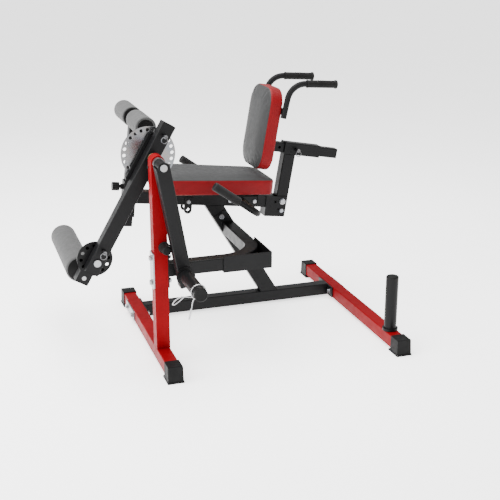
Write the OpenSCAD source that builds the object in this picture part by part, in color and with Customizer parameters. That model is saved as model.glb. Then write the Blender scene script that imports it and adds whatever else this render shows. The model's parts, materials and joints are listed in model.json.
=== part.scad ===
// Plate-loaded leg extension and leg curl machine with a padded seat and backrest.
// Millimetres, +Z up, -X is the leg lever's side and -Y the side that carries the plates.
// Inside the modules X is measured from the upright, Y from the middle of the seat.

/* [Frame] */
// Outer size of the square frame tubes
tube = 50; // [46:1:54]
// Wall of the square tubes
tube_wall = 2.5; // [1.5:0.5:4]
// Distance between the centres of the two floor tubes
wheelbase = 871; // [800:1:950]
// Height of the shaft that carries the lever and the weight arm
shaft_z = 756; // [720:1:800]
// Middle of the upright, measured from the middle of the seat
upright_y = -449; // [-470:1:-440]
// Tilt of the seat rail, front end up
rail_tilt = 6.5; // [4:0.5:9]
// Tilt of the backrest
back_tilt = 10; // [8:0.5:14]

/* [Leg lever] */
// Angle of the leg lever from the vertical
lever_angle = 30; // [15:15:45]
// Distance from the shaft to the centre of the lower disc
lever_reach = 428; // [400:1:450]
// Length of the shin roller
shin_len = 444; // [380:1:450]
// Diameter of the shin roller
shin_d = 102; // [90:1:110]

/* [Weights] */
// Angle of the weight arm from the vertical where it rests on its bumper
arm_angle = 10; // [8:1:12]
// Distance from the shaft to the weight horn
arm_reach = 402; // [380:1:420]
// Diameter of the horns that hold the plates
horn_d = 48; // [45:0.5:49]
// Length of the weight horn in front of the arm
horn_len = 200; // [180:1:205]

/* [Seat and backrest] */
// Width of the seat pad at its rear end
seat_w = 248; // [236:1:260]
// Width of the seat pad at its front end
seat_front_w = 336; // [300:1:344]
// Width of the backrest pad
back_w = 240; // [220:1:245]
// Height of the backrest pad
back_h = 334; // [300:1:340]
// Diameter of the thigh rollers
thigh_d = 80; // [70:1:90]

/* [Hidden] */
$fn = 48;
half = tube / 2;
foot_z = 9;
foot_top = foot_z + tube;
plate_t = 5;
cap_base_w = 61;
cap_len = 74;
cap_h = 63;
front_near = -657;
front_far = 200;
rear_near = -700;
rear_far = 300;
weight_end = -755;
shaft_d = 25;
run_gap = 0.05;
near_face = upright_y - half;
far_face = upright_y + half;
arm_near = -549;
lever_near = -388;
disc_y = -320;
disc_t = 5;
disc_d = 200;
disc_pitch = 88;
disc_holes = 24;
low_disc_d = 130;
low_pitch = 50;
low_disc_y = -336;
low_disc_t = 5;
bracket_y = low_disc_y + low_disc_t + 1;
bracket_reach = 84;
shin_start = -223;
axle_d = 16;
bolt_out = plate_t + 8.5;
front_x = -(wheelbase + half + bolt_out - (lever_reach + bracket_reach) * sin(lever_angle) - shin_d / 2) / 2;
seat_y = -(rear_far + weight_end) / 2;
rail_origin = [0, 0, 519];
post_u = -17;
sleeve_top = 64;
sleeve_bottom = -80;
slide_origin = [637, 0, 675];
side_y = 254;
back_mid = [521, 0, 771];
tube_z = 360;
leg_x = 389;
slant = 31;
slant_w = 65;
slant_bottom = [571, 0, foot_top];

// ---------- helpers ----------

module in_frame() translate([front_x, seat_y, 0]) children();

// Rounded rectangle centred on the origin, made of exact arcs
module round_rect(w, h, r) {
    square([w - 2 * r, h], center = true);
    square([w, h - 2 * r], center = true);
    for (x = [-1, 1], y = [-1, 1])
        translate([x * (w / 2 - r), y * (h / 2 - r)]) circle(r);
}

module tube_section(w, h, wall, r = 4)
    difference() {
        round_rect(w, h, r);
        round_rect(w - 2 * wall, h - 2 * wall, r - wall / 2);
    }

// Square or rectangular tube along +Z from the origin
module box_tube(w, h, len, wall = tube_wall)
    linear_extrude(len) tube_section(w, h, wall);

// The same tube lying along +Y, w across X and h across Z
module tube_y(w, h, len, wall = tube_wall)
    rotate([-90, 0, 0]) box_tube(w, h, len, wall);

// The same tube lying along +X, w across Y and h across Z
module tube_x(w, h, len, wall = tube_wall)
    rotate([0, 90, 0]) rotate([0, 0, 90]) box_tube(w, h, len, wall);

module rod_y(d, len) rotate([-90, 0, 0]) cylinder(d = d, h = len);

module ring_y(d, bore, len)
    difference() {
        rod_y(d, len);
        translate([0, -1, 0]) rod_y(bore, len + 2);
    }

// A bolt along +X: hex head, washer, shank through grip, washer, nut and a short end
module bolt_x(grip, d = 10) {
    head = d * 1.7;
    for (side = [0, 1]) {
        x = side == 0 ? -2 : grip;
        translate([x, 0, 0]) rotate([0, 90, 0]) cylinder(d = d * 2.1, h = 2);
    }
    translate([-2 - d * 0.65, 0, 0]) rotate([0, 90, 0]) cylinder(d = head * 1.15, h = d * 0.65, $fn = 6);
    translate([grip + 2, 0, 0]) rotate([0, 90, 0]) cylinder(d = head * 1.15, h = d * 0.8, $fn = 6);
    translate([-2, 0, 0]) rotate([0, 90, 0]) cylinder(d = d, h = grip + 4 + d);
}

module bolt_y(grip, d = 10) rotate([0, 0, 90]) bolt_x(grip, d);

module bore_x(d, len) rotate([0, 90, 0]) cylinder(d = d, h = len);

// Flat plate w by h with rounded corners and a thickness t along +X
module plate_x(w, h, t, r = 6) rotate([0, 90, 0]) rotate([0, 0, 90]) linear_extrude(t) round_rect(w, h, r);

module at_rail() translate(rail_origin) rotate([0, rail_tilt, 0]) children();

module at_back() translate(slide_origin) rotate([0, back_tilt, 0]) children();

module at_lever() translate([0, 0, shaft_z]) rotate([0, lever_angle, 0]) children();

module at_arm() translate([0, 0, shaft_z]) rotate([0, -arm_angle, 0]) children();

// ---------- base ----------

module floor_tube(near, far, x) {
    difference() {
        translate([x, near + 8, foot_z + half]) tube_y(tube, tube, far - near - 16);
        for (y = [-50, 50]) translate([x - tube, y, foot_z + half]) bore_x(10.2, 2 * tube);
    }
}

module front_foot() color("firebrick") in_frame() floor_tube(front_near, front_far, 0);

module rear_foot() color("firebrick") in_frame() floor_tube(rear_near, rear_far, wheelbase);

// Rubber boot over the end of a floor tube, its closed end at the origin, open towards +Y
module foot_cap() {
    top_w = tube + 5;
    lip = 7;
    difference() {
        intersection() {
            rotate([-90, 0, 0]) linear_extrude(cap_len) polygon([
                [-cap_base_w / 2, 0], [cap_base_w / 2, 0], [cap_base_w / 2, -lip + 2],
                [cap_base_w / 2 - 2, -lip], [top_w / 2 + 1, -lip - 1], [top_w / 2, -cap_h + 2],
                [top_w / 2 - 2, -cap_h], [-top_w / 2 + 2, -cap_h], [-top_w / 2, -cap_h + 2],
                [-top_w / 2 - 1, -lip - 1], [-cap_base_w / 2 + 2, -lip], [-cap_base_w / 2, -lip + 2]]);
            translate([-cap_base_w, 0, 0]) rotate([90, 0, 90]) linear_extrude(2 * cap_base_w) polygon([
                [0, 0], [cap_len, 0], [cap_len, lip - 2], [cap_len - 2, lip], [cap_len - 10, lip + 1],
                [cap_len - 12, cap_h], [8, cap_h], [6, cap_h - 2], [3, lip + 1], [2, lip], [0, lip - 2]]);
        }
        translate([-half, 8, foot_z]) cube([tube, cap_len, tube]);
    }
}

module foot_caps() color("dimgray") in_frame() {
    translate([0, front_near, 0]) foot_cap();
    translate([0, front_far, 0]) mirror([0, 1, 0]) foot_cap();
    translate([wheelbase, rear_near, 0]) foot_cap();
    translate([wheelbase, rear_far, 0]) mirror([0, 1, 0]) foot_cap();
}

module base_beam() color("dimgray") in_frame() translate([0, 0, foot_z + half]) {
    translate([half + plate_t, 0, 0]) tube_x(tube, tube, wheelbase - tube - 2 * plate_t);
    for (x = [half, wheelbase - half - plate_t]) translate([x, 0, 0])
        difference() {
            plate_x(150, 46, plate_t);
            for (y = [-50, 50]) translate([-1, y, 0]) bore_x(10.2, plate_t + 2);
        }
}

// Zinc plates behind the bolted flanges of both floor tubes and of the upright
module backing_plates() color("silver") in_frame() {
    for (x = [-half - plate_t, wheelbase + half]) translate([x, 0, foot_z + half])
        difference() {
            plate_x(150, 40, plate_t);
            for (y = [-50, 50]) translate([-1, y, 0]) bore_x(10.2, plate_t + 2);
        }
    translate([-half - plate_t, upright_y, tube_z]) side_plate(plate_t);
}

// All the M10 bolts that hold the frame together
module frame_bolts() color("silver") in_frame() {
    for (y = [-50, 50]) {
        translate([-half - plate_t, y, foot_z + half]) bolt_x(tube + 2 * plate_t);
        translate([wheelbase + half + plate_t, y, foot_z + half]) mirror([1, 0, 0])
            bolt_x(tube + 2 * plate_t);
    }
    for (z = side_bolt_z) translate([-half - plate_t, upright_y, z]) bolt_x(tube + 2 * plate_t);
    translate([leg_x, 0, tube_z]) rotate([0, -slant, 0])
        for (z = [-57, 57]) translate([0, -half - plate_t, z]) bolt_y(tube + plate_t);
}

// ---------- upright and shaft bearing ----------

housing_d = 42;
housing_bore = 34;

module upright_outline(grow) {
    r = half + grow;
    translate([-r, foot_top]) square([2 * r, shaft_z - foot_top]);
    translate([0, shaft_z]) circle(r);
}

module upright() color("firebrick") in_frame() translate([0, upright_y, 0])
    difference() {
        translate([0, half, 0]) rotate([90, 0, 0]) linear_extrude(tube) upright_outline(0);
        translate([0, half - tube_wall, 0]) rotate([90, 0, 0])
            linear_extrude(tube - 2 * tube_wall) difference() {
                upright_outline(-tube_wall);
                translate([-half, 0]) square([tube, foot_top + tube_wall]);
            }
        translate([0, -tube, shaft_z]) rod_y(housing_d, 2 * tube);
        for (z = side_bolt_z) translate([-tube, 0, z]) bore_x(10.2, 2 * tube);
    }

side_bolt_z = [tube_z - 46, tube_z + 46];

module side_plate(t)
    difference() {
        plate_x(tube, 136, t);
        for (z = [-46, 46]) translate([-1, 0, z]) bore_x(10.2, t + 2);
    }

// The bumper stands where its tip just meets the weight arm
bumper_z = 449;
bumper_tip_d = 32;
bumper_x = (sin(arm_angle) * (shaft_z - bumper_z) - half - bumper_tip_d / 2 - 0.4) / cos(arm_angle);

module bumper_peg() color("silver") in_frame()
    translate([bumper_x, near_face, bumper_z]) rotate([90, 0, 0]) cylinder(d = 16, h = 44);

module bumper_sleeve() color("dimgray") in_frame()
    translate([bumper_x, near_face, bumper_z]) rotate([90, 0, 0]) rotate_extrude() polygon([
        [8, 0], [21, 0], [21, 6], [bumper_tip_d / 2 + 1.5, 9], [bumper_tip_d / 2, 22],
        [bumper_tip_d / 2, 45], [bumper_tip_d / 2 - 3, 48], [0, 48], [0, 44], [8, 44]]);

module pivot_housing() color("gray") in_frame()
    translate([0, near_face - 21, shaft_z]) ring_y(housing_d, housing_bore, tube + 36);

module pivot_bushes() color("tan") in_frame()
    for (y = [near_face - 21, far_face + 15 - 20]) translate([0, y, shaft_z])
        ring_y(housing_bore, shaft_d + 2 * run_gap, 20);

// ---------- side tube and its bracket ----------

bend_r = 149;
bend_c = [leg_x - bend_r, upright_y + bend_r];

module side_tube() color("dimgray") in_frame() translate([0, 0, tube_z]) {
    translate([half, upright_y, 0]) side_plate(plate_t);
    translate([half + plate_t, upright_y, 0]) tube_x(tube, tube, bend_c[0] - half - plate_t);
    translate([bend_c[0], bend_c[1], 0]) rotate([0, 0, -90]) rotate_extrude(angle = 90)
        translate([bend_r, 0]) tube_section(tube, tube, tube_wall);
    translate([leg_x, bend_c[1], 0]) tube_y(tube, tube, -half - plate_t - bend_c[1]);
    side_tube_plate();
}

// End plate that lies along the slanted post
module side_tube_plate()
    translate([leg_x, -half, 0]) rotate([0, -slant, 0]) rotate([0, 0, -90])
        difference() {
            plate_x(slant_w - 5, 146, plate_t);
            for (z = [-57, 57]) translate([-1, 0, z]) bore_x(10.2, plate_t + 2);
        }

module corner_bracket() color("dimgray") in_frame() translate([0, 0, tube_z - half]) {
    outer = [leg_x + half, near_face];
    wall = 5;
    h = tube + 7;
    translate([232, outer[1] - wall, 0]) cube([outer[0] + wall - 232, wall, h]);
    translate([outer[0], outer[1], 0]) cube([wall, 190, h]);
    translate([0, 0, -wall]) linear_extrude(wall) difference() {
        translate([232, outer[1] - wall]) square([outer[0] + wall - 232, 190 + wall]);
        translate([232, outer[1] + tube + 40]) square([bend_c[0] - 232, 190]);
        translate(bend_c) circle(bend_r - half - 2);
    }
}

// ---------- slanted post, rail and what stands on it ----------

module slanted_post() color("dimgray") in_frame()
    difference() {
        intersection() {
            translate(slant_bottom) rotate([0, -slant, 0]) translate([0, 0, -60])
                box_tube(slant_w, tube, 620);
            difference() {
                translate([200, -tube, foot_top]) cube([460, 2 * tube, 460]);
                at_rail() translate([-100, -tube, -half]) cube([900, 2 * tube, 300]);
            }
        }
        translate([leg_x, 0, tube_z]) rotate([0, -slant, 0])
            for (z = [-57, 57]) translate([0, -tube, z]) rod_y(10.2, 2 * tube);
    }

rail_start = post_u + half;
rail_len = 592;
grip_u = 452;
lug_u = 224;

module seat_rail() color("dimgray") in_frame() at_rail()
    difference() {
        translate([rail_start, 0, 0]) tube_x(tube, tube, rail_len - rail_start);
        for (u = [grip_u - 53, grip_u + 53]) translate([u, -tube, 0]) rod_y(8.2, 2 * tube);
        translate([lug_u, -tube, -10]) rod_y(8.2, 2 * tube);
    }

// Two lugs that hang below the rail, with a small and a large hole
module rail_lugs() color("dimgray") in_frame() at_rail()
    for (y = [-half - 5, half]) translate([lug_u, y, 0])
        difference() {
            union() {
                translate([-16, 0, -44]) cube([32, 5, 52]);
                translate([0, 0, -44]) rod_y(32, 5);
            }
            translate([0, -1, -10]) rod_y(8.2, 7);
            translate([0, -1, -42]) rod_y(13, 7);
        }

sleeve_in = tube - 2 * tube_wall;

module holddown_sleeve() color("dimgray") in_frame() at_rail() translate([post_u, 0, sleeve_bottom])
    difference() {
        union() {
            box_tube(tube, tube, sleeve_top - sleeve_bottom, (tube - post_w) / 2 - 0.4);
            translate([-half - 10, 0, knob_v - sleeve_bottom]) bore_x(22, 11);
        }
        translate([-half - 12, 0, knob_v - sleeve_bottom]) bore_x(12.1, 20);
    }

knob_v = 38;

seat_tilt = 5.5;
seat_mid = [312, 0, 590];
// How far the seat overhangs its brackets towards +X
seat_shift = 3;
seat_len = 478;
pad_t = 46;

module at_seat() translate(seat_mid) rotate([0, seat_tilt, 0]) children();
module at_pad() translate([seat_shift, 0, 0]) at_seat() children();

// Arc of a corner in steps of 15 degrees, and the tapered outline of the seat, smaller by rim all round
function corner(x, y, r, from) = [for (a = [from : 15 : from + 90]) [x + r * cos(a), y + r * sin(a)]];

module seat_outline(r, rim) {
    x = seat_len / 2 - rim - r;
    rear = seat_w / 2 - rim - r;
    front = seat_front_w / 2 - rim - r;
    polygon(concat(corner(x, rear, r, 0), corner(-x, front, r, 90),
        corner(-x, -front, r, 180), corner(x, -rear, r, 270)));
}

// Crowned pad: a block with rounded corners under a shallow cylinder
module seat_pad() color("dimgray") in_frame() at_pad()
    intersection() {
        translate([0, 0, -pad_t]) linear_extrude(pad_t + 16) seat_outline(30, 0);
        translate([-seat_len, 0, -886]) rotate([0, 90, 0]) cylinder(r = 900, h = 2 * seat_len, $fn = 96);
    }

module seat_board() color("saddlebrown") in_frame() at_pad()
    translate([0, 0, -pad_t - 12]) linear_extrude(12) seat_outline(24, 9);

// Folded plate over the rail, its top in the plane of the board
module seat_bracket(u, len) {
    difference() {
        at_seat() translate([u - len / 2, -90, -pad_t - 16]) cube([len, 180, 4]);
        at_seat() for (y = [-70, 70]) translate([u, y, -pad_t - 20]) cylinder(d = 8.2, h = 12);
    }
    intersection() {
        for (y = [-half - 4, half]) at_seat() translate([u - len / 2, y, -pad_t - 80]) cube([len, 4, 64]);
        at_rail() translate([-200, -200, -8]) cube([1200, 400, 200]);
    }
}

module seat_brackets() color("dimgray") in_frame() {
    seat_bracket(-150, 50);
    seat_bracket(227, 24);
}

handle_d = 25;
handle_up = 35.5;
handle_low = rail_origin + grip_u * [cos(rail_tilt), 0, -sin(rail_tilt)];
handle_bend = 38;

handle_bar = handle_d - 0.4;

// One side handle, on the +Y side: plate, cross bar, elbow and the bar that rises forward.
// The straight bars are a hair thinner than the elbow and run 1 mm into it
module side_handle() {
    translate([handle_low[0], half, handle_low[2]]) {
        rotate([0, rail_tilt, 0]) rotate([0, 0, 90]) difference() {
            plate_x(124, 38, 4);
            for (u = [-53, 53]) translate([-1, u, 0]) bore_x(8.2, 6);
        }
        translate([0, 3, 0]) rod_y(handle_bar, side_y - half - 2 - handle_bend);
    }
    translate([handle_low[0], side_y - handle_bend, handle_low[2]]) rotate([0, handle_up, 0])
        translate([-handle_bend, 0, 0]) rotate_extrude(angle = 90)
            translate([handle_bend, 0]) circle(d = handle_d);
    side_bar(-1, 186) cylinder(d = handle_bar, h = 187);
}

module side_handles() color("dimgray") in_frame()
    for (side = [0, 1]) mirror([0, side, 0]) side_handle();

// Places its child on the rising bar, s0 to s1 measured from the end of the elbow
module side_bar(s0, s1)
    translate([handle_low[0], side_y, handle_low[2]]) rotate([0, handle_up, 0])
        translate([-handle_bend - s1, 0, 0]) rotate([0, 90, 0]) children();

module side_grips() color("dimgray") in_frame()
    for (side = [0, 1]) mirror([0, side, 0]) side_bar(66, 188) difference() {
        cylinder(d = 34, h = 122);
        translate([0, 0, -1]) cylinder(d = handle_d, h = 124);
    }

module rail_bolts() color("silver") in_frame() at_rail() {
    for (u = [grip_u - 53, grip_u + 53]) translate([u, -half - 4, 0]) bolt_y(tube + 8, 8);
    translate([lug_u, -half - 5, -10]) bolt_y(tube + 10, 8);
}

horn_wall = 3;
storage_pos = [wheelbase, -573];
storage_h = 213;

module storage_horn() color("dimgray") in_frame() translate([storage_pos[0], storage_pos[1], foot_top])
    difference() {
        union() {
            cylinder(d = horn_d, h = storage_h);
            cylinder(d = horn_d + 12, h = 10);
        }
        translate([0, 0, -1]) cylinder(d = horn_d - 2 * horn_wall, h = storage_h + 2);
    }

module horn_cap() {
    cylinder(d = horn_d - 2 * horn_wall, h = 14);
    translate([0, 0, 14]) rotate_extrude() polygon([
        [0, 0], [horn_d / 2, 0], [horn_d / 2, 3], [horn_d / 2 - 3, 6], [0, 6]]);
}

module storage_horn_cap() color("dimgray") in_frame()
    translate([storage_pos[0], storage_pos[1], foot_top + storage_h - 14]) horn_cap();

// ---------- backrest support ----------

box_u = 556;
box_len = 86;
box_low = -62;
box_high = 24;
plate_y = half + 5;

module rear_bracket() color("dimgray") in_frame() at_rail()
    difference() {
        translate([box_u, -plate_y, box_low]) cube([box_len, 2 * plate_y, box_high - box_low]);
        translate([box_u - 1, -half, -half]) cube([box_len + 2, tube, box_high + half + 1]);
        translate([box_u + 5, -half, box_low - 1]) cube([box_len, tube, 100]);
        for (p = box_holes) translate([p[0], -tube, p[1]]) rod_y(p[2], 2 * tube);
    }

box_holes = [[598, 0, 10.2], [613, -31, 10.2], [628, 3, 12.2], [628, -36, 8.2]];

module rear_bolts() color("silver") in_frame() at_rail() {
    translate([628, -plate_y, 3]) bolt_y(2 * plate_y, 12);
    translate([628, -plate_y, -36]) bolt_y(2 * plate_y, 8);
}

slide_w = 40;
sleeve_len = 156;

module back_post() color("dimgray") in_frame() {
    difference() {
        at_back() translate([25, 0, -half]) rotate([180, 0, 0]) box_tube(tube, tube, 262);
        at_rail() {
            translate([628, -tube, 3]) rod_y(12.2, 2 * tube);
            translate([628, -tube, -36]) rod_y(8.2, 2 * tube);
            translate([400, -tube, -half]) cube([rail_len - 400, 2 * tube, tube]);
        }
    }
    at_back() difference() {
        tube_x(tube, tube, sleeve_len);
        translate([pin_s, -tube, 0]) rod_y(14, tube);
    }
}

pin_s = 48;
bush_gap = 0.4;

module slide_bush() color("black") in_frame() at_back()
    difference() {
        union() {
            translate([-3, 0, 0]) rotate([0, 90, 0]) linear_extrude(3) round_rect(tube + 4, tube + 4, 5);
            rotate([0, 90, 0]) linear_extrude(28) round_rect(sleeve_in, sleeve_in, 2.75);
        }
        translate([-4, 0, 0]) rotate([0, 90, 0]) linear_extrude(40)
            round_rect(slide_w + 2 * bush_gap, slide_w + 2 * bush_gap, 4);
    }

// ---------- shaft body ----------

hub_d = 38;

module pivot_shaft() color("silver") in_frame() translate([0, -560, shaft_z])
    rod_y(shaft_d, 560 + disc_y + disc_t + 6);

module index_disc() color("silver") in_frame() translate([0, disc_y, 0]) at_arm()
    difference() {
        rod_y(disc_d, disc_t);
        translate([0, -1, 0]) rod_y(shaft_d, disc_t + 2);
        for (i = [0 : disc_holes - 1]) rotate([0, i * 360 / disc_holes + lever_angle + arm_angle, 0])
            translate([0, -1, disc_pitch]) rod_y(13, disc_t + 2);
    }

module weight_arm() color("dimgray") in_frame() translate([0, arm_near, 0]) at_arm() {
    translate([0, half, -arm_reach - 42]) difference() {
        box_tube(tube, tube, arm_reach + 42);
        translate([0, -tube, arm_reach + 42]) rod_y(hub_d, 2 * tube);
        translate([0, -tube, 42]) rod_y(30, tube);
    }
    translate([0, half, -arm_reach - 44]) linear_extrude(4) round_rect(tube, tube, 4);
    translate([0, -8, 0]) ring_y(hub_d, shaft_d, tube + 8);
}

module weight_horn() color("dimgray") in_frame() translate([0, arm_near, 0]) at_arm()
    translate([0, 0, -arm_reach]) rotate([90, 0, 0]) difference() {
        union() {
            cylinder(d = horn_d, h = horn_len);
            cylinder(d = horn_d + 20, h = 6);
            translate([0, 0, -30]) cylinder(d = 30, h = 30);
        }
        translate([0, 0, 6]) cylinder(d = horn_d - 2 * horn_wall, h = horn_len);
    }

module weight_horn_cap() color("dimgray") in_frame() translate([0, arm_near, 0]) at_arm()
    translate([0, 0, -arm_reach]) rotate([90, 0, 0]) translate([0, 0, horn_len - 14]) horn_cap();

// ---------- leg lever ----------

lever_top = 129;
lever_bottom = 470;
bush_d = 34;

module lever_tube() color("dimgray") in_frame() at_lever() translate([0, lever_near + half, 0])
    difference() {
        translate([0, 0, -lever_bottom]) box_tube(tube, tube, lever_bottom + lever_top);
        translate([0, -tube, 0]) rod_y(bush_d, 2 * tube);
        for (z = [disc_pitch, low_pitch - lever_reach]) translate([0, -tube, z]) rod_y(14.4, 2 * tube);
        translate([0, -tube, -lever_reach]) rod_y(axle_d, 2 * tube);
    }

doubler_t = 16;

// Two plates on the disc's side of the lever, and a bearing boss around the joint pin below
module lever_doubler() color("dimgray") in_frame() at_lever() translate([0, lever_near + tube, 0])
    difference() {
        translate([-38, 0, -112]) cube([76, doubler_t, 178]);
        translate([0, -1, 0]) rod_y(bush_d, 60);
    }

module lever_bush() color("tan") in_frame() translate([0, lever_near, shaft_z])
    ring_y(bush_d, shaft_d + 2 * run_gap, tube + doubler_t);

// Pin that carries the roller bracket, with its head on the plate side
module joint_pin() color("silver") in_frame() at_lever() translate([0, lever_near, -lever_reach]) {
    rod_y(axle_d, bracket_y + tube + 12 - lever_near);
    translate([0, -6, 0]) rod_y(26, 6);
    translate([0, bracket_y + tube + 1 - lever_near, 0]) rod_y(26, 10);
}

module lever_plugs() color("black") in_frame() at_lever() translate([0, lever_near + half, 0])
    for (z = [lever_top, -lever_bottom]) translate([0, 0, z]) mirror([0, 0, z > 0 ? 0 : 1]) {
        linear_extrude(3) round_rect(tube, tube, 4);
        translate([0, 0, -12]) linear_extrude(12) round_rect(sleeve_in, sleeve_in, 2.75);
    }

// ---------- lower disc, roller bracket and shin roller ----------

module lower_disc() color("dimgray") in_frame() at_lever() translate([0, low_disc_y, -lever_reach])
    difference() {
        rod_y(low_disc_d, low_disc_t + 1);
        translate([0, -1, 0]) rod_y(axle_d + 2 * run_gap, low_disc_t + 3);
        for (i = [0 : 11]) rotate([0, i * 30, 0]) translate([0, -1, low_pitch]) rod_y(12.6, low_disc_t + 2);
    }

module roller_bracket() color("dimgray") in_frame() at_lever()
    translate([0, bracket_y, -lever_reach]) difference() {
        translate([0, half, -bracket_reach - 22]) box_tube(tube, tube, bracket_reach + 48);
        translate([0, -1, 0]) rod_y(axle_d + 2 * run_gap, tube + 2);
        translate([0, -1, -bracket_reach]) rod_y(axle_d, tube + 2);
    }

module shin_axle() color("silver") in_frame() at_lever() translate([0, 0, -lever_reach - bracket_reach]) {
    translate([0, bracket_y, 0]) rod_y(axle_d, shin_start + shin_len + 12 - bracket_y);
    translate([0, bracket_y + tube, 0]) rod_y(30, 6);
}

module shin_foam() color("gray") in_frame() at_lever()
    translate([0, shin_start, -lever_reach - bracket_reach]) ring_y(shin_d, 30, shin_len);

module shin_end_caps() color("black") in_frame() at_lever()
    translate([0, shin_start, -lever_reach - bracket_reach]) for (e = [0, 1])
        translate([0, e * shin_len, 0]) mirror([0, e, 0]) difference() {
            union() {
                translate([0, -4, 0]) rod_y(shin_d - 14, 4);
                rod_y(30, 40);
            }
            translate([0, -5, 0]) rod_y(axle_d + 2 * run_gap, 60);
        }

// ---------- thigh hold-down ----------

bar_v = 311;
thigh_len = 189;
rib_len = 12;
roller_bore = 30;
dish = 9;
collar = 21;
post_w = 40;
post_low = -120;

module holddown_post() color("dimgray") in_frame() at_rail() translate([post_u, 0, 0]) {
    difference() {
        translate([0, 0, post_low]) box_tube(post_w, post_w, bar_v - post_low - 14);
        for (i = [0 : 7]) translate([-half, 0, knob_v - 100 + i * 25]) bore_x(13, half);
        translate([0, -half, bar_v]) rod_y(36, tube);
    }
    translate([0, -collar + 2, bar_v]) ring_y(36, axle_d, 2 * collar - 4);
}

module thigh_bar() color("silver") in_frame() at_rail() translate([post_u, 0, bar_v])
    translate([0, -thigh_end, 0]) rod_y(axle_d, 2 * thigh_end);

thigh_end = collar + thigh_len - dish - 8;

module at_thigh(side) in_frame() at_rail() translate([post_u, 0, bar_v]) mirror([0, side, 0])
    translate([0, collar, 0]) children();

module thigh_foam(side) at_thigh(side) difference() {
    translate([0, rib_len, 0]) rod_y(thigh_d, thigh_len - rib_len);
    translate([0, -1, 0]) rod_y(roller_bore, thigh_len + 2);
    translate([0, thigh_len - dish, 0]) rod_y(thigh_d - 22, dish + 1);
}

// Ribbed inner ring and dished outer plug of a thigh roller
module thigh_caps(side) at_thigh(side) {
    rotate([-90, 0, 0]) rotate_extrude() polygon([[axle_d / 2 + run_gap, 0], [36, 0], [36, 3],
        [34, 3], [34, 6], [36, 6], [36, 9], [34, 9], [34, rib_len], [roller_bore / 2, rib_len],
        [roller_bore / 2, rib_len + 30], [axle_d / 2 + run_gap, rib_len + 30]]);
    rotate([-90, 0, 0]) rotate_extrude() polygon([[0, thigh_len - dish - 6],
        [axle_d / 2 + run_gap, thigh_len - dish - 6], [axle_d / 2 + run_gap, thigh_len - 40],
        [roller_bore / 2, thigh_len - 40], [roller_bore / 2, thigh_len - dish],
        [thigh_d / 2 - 11.2, thigh_len - dish], [thigh_d / 2 - 11.2, thigh_len - 1],
        [thigh_d / 2 - 14, thigh_len - 1], [thigh_d / 2 - 17, thigh_len - dish + 3],
        [0, thigh_len - dish + 2]]);
}

module near_thigh_foam() color("gray") thigh_foam(1);

module far_thigh_foam() color("gray") thigh_foam(0);

module near_thigh_caps() color("black") thigh_caps(1);

module far_thigh_caps() color("black") thigh_caps(0);

module holddown_knob() color("black") in_frame() at_rail() translate([post_u - half - 10, 0, knob_v]) {
    translate([-6, 0, 0]) bore_x(12, 18);
    translate([-34, 0, 0]) rotate([0, 90, 0]) difference() {
        cylinder(d = 34, h = 28);
        for (i = [0 : 7]) rotate([0, 0, i * 45]) translate([19, 0, -1]) cylinder(d = 8, h = 30);
    }
}

// ---------- backrest ----------

back_front = -130;
back_z = 74;
back_pad_t = 42;
board_t = 8;
plate_u = back_front + back_pad_t + board_t;
slide_tail = 236;
cross_v = 142;
cross_h = 26;
cross_t = 8;

slide_pitch = 36;

// Square slide tube with a row of pin holes and the upright plate that carries the board
module back_slide() color("dimgray") in_frame() at_back()
    difference() {
        union() {
            translate([plate_u + plate_t, 0, 0]) tube_x(slide_w, slide_w, slide_tail - plate_u - plate_t, 2);
            translate([plate_u, 0, (cross_v + cross_h - 45) / 2]) plate_x(64, cross_v + cross_h + 45, plate_t);
        }
        for (i = [-2 : 2]) translate([pin_s + slide_pitch * i, -half, 0]) rod_y(11, half);
    }

module back_face(len, w, r) rotate([0, 90, 0]) linear_extrude(len) round_rect(w[1], w[0], r);

module back_pad() color("dimgray") in_frame() at_back() translate([back_front, 0, back_z])
    intersection() {
        translate([-20, 0, 0]) back_face(back_pad_t + 20, [back_w, back_h], 66);
        translate([350, 0, -back_h]) cylinder(r = 369, h = 2 * back_h, $fn = 96);
    }

module back_board() color("saddlebrown") in_frame() at_back()
    translate([plate_u - board_t, 0, back_z]) back_face(board_t, [back_w - 30, back_h - 30], 52);

hook_y = 125;
hook_d = 24;
hook_start = [-71.5, 0, 132.2];
hook_rise = 78;
hook_lean = 3;
hook_bend = 72;
hook_turn = 80.5;
hook_out = 128;

module at_hook() translate([hook_start[0], hook_y, hook_start[2]]) rotate([0, hook_lean, 0]) children();

// Past the bend, along the axis of the grip
module at_hook_end() at_hook() translate([hook_bend, 0, hook_rise]) rotate([0, hook_turn, 0])
    translate([-hook_bend, 0, 0]) children();

// The straight ends are a hair thinner than the bend and run 1 mm into it
module hook_arm() {
    straight = hook_d - 0.4;
    at_hook() cylinder(d = straight, h = hook_rise + 1);
    at_hook() translate([hook_bend, 0, hook_rise]) rotate([90, 0, 0]) rotate([0, 0, 180 - hook_turn])
        rotate_extrude(angle = hook_turn) translate([hook_bend, 0]) circle(d = hook_d);
    at_hook_end() translate([0, 0, -1]) cylinder(d = straight, h = hook_out + 1);
}

// Two bent arms and the flat bar between them, which is bolted behind the plate
module back_handles() color("dimgray") in_frame() at_back() {
    for (side = [0, 1]) mirror([0, side, 0]) hook_arm();
    translate([plate_u + plate_t, -hook_y + hook_d / 2 - 1, cross_v])
        cube([cross_t, 2 * hook_y - hook_d + 2, cross_h]);
}

// Ribbed grips with a small flange at each end
module back_grips() color("black") in_frame() at_back()
    for (side = [0, 1]) mirror([0, side, 0]) at_hook_end() translate([0, 0, 4]) rotate_extrude()
        polygon([[hook_d / 2, 0], [16, 0], [16, 5], [14.5, 7], [14.5, 116], [17.5, 120], [17.5, 126],
            [15, 129], [0, 129], [0, hook_out - 4], [hook_d / 2, hook_out - 4]]);

// ---------- pull-pins and the spring clip ----------

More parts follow.
